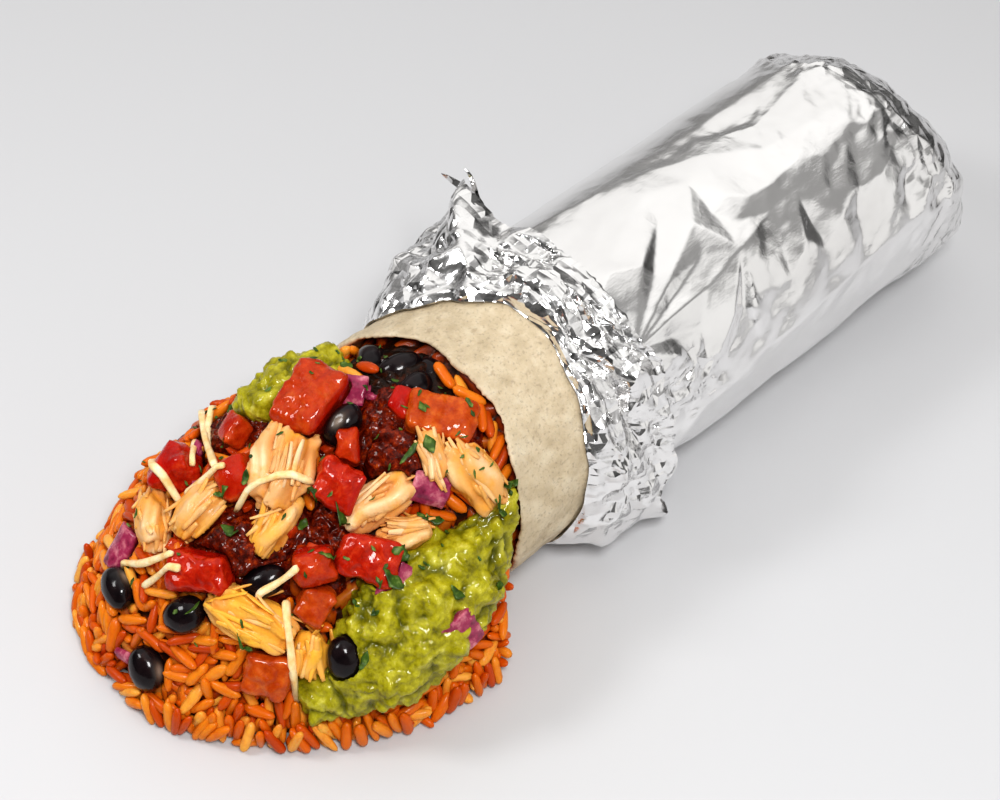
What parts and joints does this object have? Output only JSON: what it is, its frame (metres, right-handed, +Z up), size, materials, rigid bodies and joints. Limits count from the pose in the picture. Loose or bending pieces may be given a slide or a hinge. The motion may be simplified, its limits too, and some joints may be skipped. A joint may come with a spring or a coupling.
{
  "type": "burrito",
  "caption": "Foil-wrapped burrito lying open at one end, its rice, beans, chicken, tomato, onion, salsa and guacamole heaped out in front of the mouth.",
  "frame": {"origin": "middle of the flat underside of the foil-wrapped body, on the surface it lies on", "axes": "+X along the burrito from the open mouth to the closed foil end, +Z up, -Y the side the picture was taken from"},
  "size_m": [0.2854, 0.1131, 0.075],
  "materials": {
    "foil": "bright crumpled kitchen foil",
    "tortilla": "dull, floury, mottled",
    "rice": "moist cooked grains stained orange-red",
    "guacamole": "wet, chunky mash",
    "salsa": "wet, granular sauce",
    "tomato": "wet, shiny dice",
    "chicken": "moist, fibrous",
    "bean": "shiny black skin",
    "onion": "moist, translucent layers"
  },
  "bodies": {
    "root": {"foil_wrap": "foil", "tortilla": "tortilla", "rice": "rice", "guacamole_1": "guacamole", "guacamole_2": "guacamole", "salsa_1": "salsa", "salsa_2": "salsa", "tomato_1": "tomato", "tomato_2": "tomato", "tomato_3": "tomato", "tomato_4": "tomato", "tomato_5": "tomato", "tomato_6": "tomato", "tomato_7": "tomato", "tomato_8": "tomato", "tomato_9": "tomato", "tomato_10": "tomato", "tomato_11": "tomato", "tomato_12": "tomato", "tomato_13": "tomato", "chicken_1": "chicken", "chicken_2": "chicken", "chicken_3": "chicken", "chicken_4": "chicken", "chicken_5": "chicken", "chicken_6": "chicken", "chicken_7": "chicken", "chicken_8": "chicken", "chicken_9": "chicken", "chicken_10": "chicken", "bean_1": "bean", "bean_2": "bean", "bean_3": "bean", "bean_4": "bean", "bean_5": "bean", "bean_6": "bean", "bean_7": "bean", "bean_8": "bean", "bean_9": "bean", "bean_10": "bean", "onion_1": "onion", "onion_2": "onion", "onion_3": "onion", "onion_4": "onion", "onion_5": "onion", "onion_6": "onion"}
  },
  "joints": []
}
